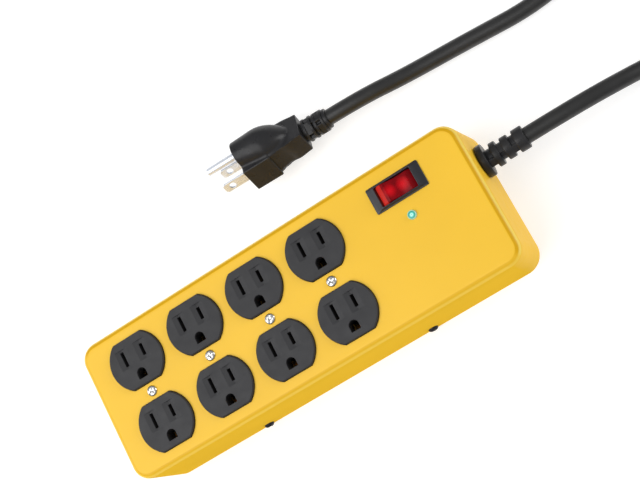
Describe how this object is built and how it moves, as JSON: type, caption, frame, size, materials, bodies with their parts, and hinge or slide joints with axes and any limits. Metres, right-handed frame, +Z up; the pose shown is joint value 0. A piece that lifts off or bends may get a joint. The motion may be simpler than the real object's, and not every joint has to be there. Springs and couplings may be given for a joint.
{
  "type": "power strip",
  "caption": "Metal power strip with a two-row field of grounded outlets, a lighted rocker switch, an indicator lamp and a cord with a moulded plug.",
  "frame": {"origin": "middle of the housing's underside, on the surface it stands on", "axes": "+Z up out of the outlet faces, +X along the housing towards the cord end, +Y across towards the switch side"},
  "size_m": [0.5149, 0.1685, 0.0508],
  "materials": {
    "yellow_paint": "gloss powder coat",
    "black_steel": "black oxide",
    "screw_chrome": "polished",
    "outlet_plastic": "fine moulded texture",
    "contact_brass": "stamped",
    "switch_plastic": "satin",
    "rocker_red": "translucent, lit",
    "inner_plastic": "moulded",
    "spring_steel": "bright",
    "lamp_glass": "clear",
    "lens_teal": "translucent, lit",
    "board_green": "solder mask",
    "wire_black": "smooth insulation",
    "wire_white": "smooth insulation",
    "wire_green": "smooth insulation",
    "cord_black": "satin jacket",
    "plug_black": "moulded",
    "blade_nickel": "nickel plated",
    "tie_black": "hook and loop band"
  },
  "bodies": {
    "housing": {"base_plate": "yellow_paint", "base_screws": "black_steel", "cord_coil": "cord_black", "cord_plug_side": "cord_black", "cord_strip_side": "cord_black", "cord_tail": "cord_black", "cord_tie": "tie_black", "ground_jumpers": "wire_green", "ground_nut": "spring_steel", "ground_terminals": "contact_brass", "ground_wires": "wire_green", "hot_jumpers": "wire_black", "indicator_board": "board_green", "indicator_holder": "inner_plastic", "indicator_leads": "wire_black", "indicator_led": "lens_teal", "indicator_lens": "lens_teal", "indicator_resistor": "inner_plastic", "line_wire": "wire_black", "load_wire": "wire_black", "neutral_jumpers": "wire_white", "neutral_wire": "wire_white", "plug_body": "plug_black", "plug_ground_pin": "blade_nickel", "plug_hot_blade": "blade_nickel", "plug_neutral_blade": "blade_nickel", "receptacle_1_body": "outlet_plastic", "receptacle_1_face": "outlet_plastic", "receptacle_1_ground_strap": "contact_brass", "receptacle_1_hot_strip": "contact_brass", "receptacle_1_neutral_strip": "contact_brass", "receptacle_2_body": "outlet_plastic", "receptacle_2_face": "outlet_plastic", "receptacle_2_ground_strap": "contact_brass", "receptacle_2_hot_strip": "contact_brass", "receptacle_2_neutral_strip": "contact_brass", "receptacle_3_body": "outlet_plastic", "receptacle_3_face": "outlet_plastic", "receptacle_3_ground_strap": "contact_brass", "receptacle_3_hot_strip": "contact_brass", "receptacle_3_neutral_strip": "contact_brass", "receptacle_4_body": "outlet_plastic", "receptacle_4_face": "outlet_plastic", "receptacle_4_ground_strap": "contact_brass", "receptacle_4_hot_strip": "contact_brass", "receptacle_4_neutral_strip": "contact_brass", "receptacle_screws": "screw_chrome", "strain_relief": "plug_black", "switch_case": "switch_plastic", "switch_lamp": "lamp_glass", "switch_lamp_lead": "wire_white", "switch_lamp_terminal": "contact_brass", "switch_line_terminal": "contact_brass", "switch_load_terminal": "contact_brass", "top_cover": "yellow_paint"},
    "rocker": {"switch_rocker": "rocker_red", "switch_plunger": "inner_plastic", "switch_spring": "spring_steel"},
    "contact_arm": {"switch_contact_arm": "contact_brass"}
  },
  "joints": [
    {"name": "rocker_hinge", "type": "hinge", "parent": "housing", "child": "rocker", "pos_m": [0.0847, 0.025, 0.0438], "axis": [0, -1, 0], "range_deg": [0, 21]},
    {"name": "contact_arm_hinge", "type": "hinge", "parent": "housing", "child": "contact_arm", "pos_m": [0.0847, 0.025, 0.033], "axis": [0, -1, 0], "range_deg": [-14.2, 0]}
  ],
  "couplings": [
    {"joint": "contact_arm_hinge", "follows": "rocker_hinge", "ratio": -0.6667}
  ]
}
